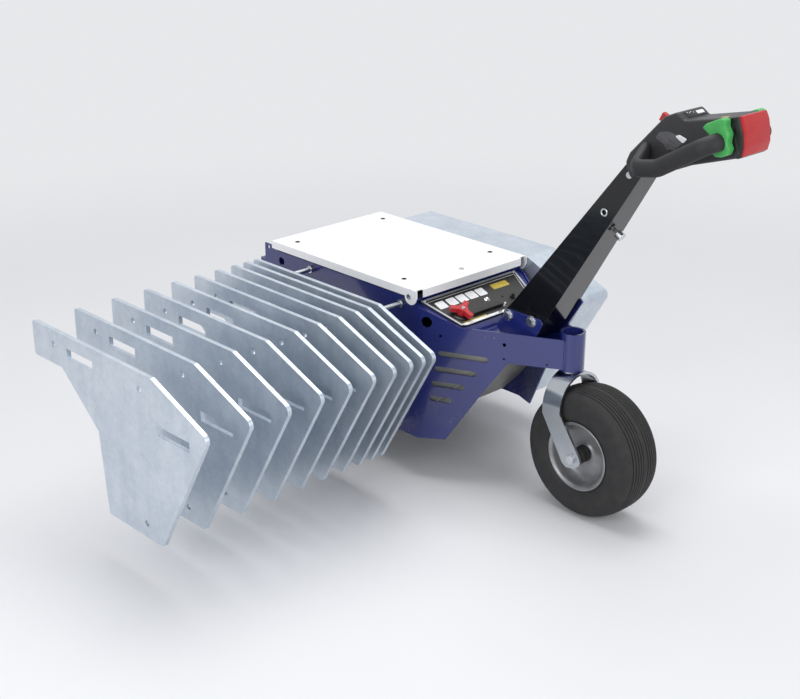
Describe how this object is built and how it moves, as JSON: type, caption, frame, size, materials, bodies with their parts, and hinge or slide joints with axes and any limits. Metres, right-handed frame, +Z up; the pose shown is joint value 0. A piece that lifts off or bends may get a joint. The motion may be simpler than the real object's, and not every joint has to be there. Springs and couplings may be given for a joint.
{
  "type": "walk-behind battery baggage tug",
  "caption": "Walk-behind battery tug: tiller arm, lift-up battery lid, drive wheels in front, castor behind, ballast plates on both sides, one pack spread out.",
  "frame": {"origin": "middle of the bounding box, on the floor", "axes": "+X forward to the tow jaw, +Y to the left side, the side of the spread plates, +Z up"},
  "size_m": [1.831, 1.6082, 1.2902],
  "materials": {
    "blue_paint": "gloss",
    "grey_paint": "satin",
    "white_paint": "satin",
    "panel_paint": "satin",
    "red_plastic": "gloss",
    "green_plastic": "gloss",
    "black_plastic": "matt",
    "black_paint": "gloss",
    "zinc_sheet": "galvanised",
    "plated_steel": "zinc plated",
    "rim_paint": "satin",
    "tyre": "matt",
    "dark_paint": "satin",
    "battery_case": "matt"
  },
  "bodies": {
    "chassis": {"side_panel_left": "blue_paint", "side_panel_right": "blue_paint", "swivel_tube": "blue_paint", "beam_plates": "blue_paint", "front_cross_plate": "blue_paint", "tiller_bracket_left": "blue_paint", "tiller_bracket_right": "blue_paint", "battery_box_rim": "blue_paint", "tow_jaw": "blue_paint", "floor_pan": "grey_paint", "rear_apron": "grey_paint", "control_panel": "panel_paint", "isolator_handle": "red_plastic", "belly_button": "red_plastic", "head_switch": "red_plastic", "thumb_paddle_left": "green_plastic", "thumb_paddle_right": "green_plastic", "head_housing": "black_plastic", "grip_left": "black_plastic", "grip_right": "black_plastic", "tiller_arm": "black_paint", "ballast_plate_01": "zinc_sheet", "ballast_plate_02": "zinc_sheet", "ballast_plate_03": "zinc_sheet", "ballast_plate_04": "zinc_sheet", "ballast_plate_05": "zinc_sheet", "ballast_plate_06": "zinc_sheet", "ballast_plate_07": "zinc_sheet", "ballast_plate_08": "zinc_sheet", "ballast_plate_09": "zinc_sheet", "ballast_plate_10": "zinc_sheet", "ballast_pack_right": "zinc_sheet", "studs_left": "plated_steel", "studs_right": "plated_steel", "tiller_bolt_front": "plated_steel", "tiller_bolt_rear": "plated_steel", "lid_hinge_pin_left": "plated_steel", "lid_hinge_pin_right": "plated_steel", "arm_knob": "plated_steel", "tow_pin": "plated_steel", "swivel_bush": "plated_steel", "drive_axle": "dark_paint", "drive_motor": "dark_paint", "battery": "battery_case"},
    "castor_fork_body": {"castor_fork": "plated_steel", "castor_axle": "plated_steel"},
    "castor_wheel": {"castor_rim": "rim_paint", "castor_tyre": "tyre"},
    "drive_wheel_left": {"drive_rim_left": "rim_paint", "drive_tyre_left": "tyre"},
    "drive_wheel_right": {"drive_rim_right": "rim_paint", "drive_tyre_right": "tyre"},
    "battery_lid": {"lid": "white_paint"}
  },
  "joints": [
    {"name": "castor_swivel", "type": "hinge", "parent": "chassis", "child": "castor_fork_body", "pos_m": [-0.3355, -0.39685, 0.434], "axis": [0, 0, 1], "continuous": true},
    {"name": "castor_wheel_spin", "type": "hinge", "parent": "castor_fork_body", "child": "castor_wheel", "pos_m": [-0.4305, -0.39685, 0.2], "axis": [0, 1, 0], "continuous": true},
    {"name": "drive_wheel_left_spin", "type": "hinge", "parent": "chassis", "child": "drive_wheel_left", "pos_m": [0.5695, -0.06885, 0.2], "axis": [0, 1, 0], "continuous": true},
    {"name": "drive_wheel_right_spin", "type": "hinge", "parent": "chassis", "child": "drive_wheel_right", "pos_m": [0.5695, -0.72485, 0.2], "axis": [0, 1, 0], "continuous": true},
    {"name": "lid_hinge", "type": "hinge", "parent": "chassis", "child": "battery_lid", "pos_m": [0.1025, -0.39685, 0.606], "axis": [0, -1, 0], "range_deg": [0, 35]}
  ]
}
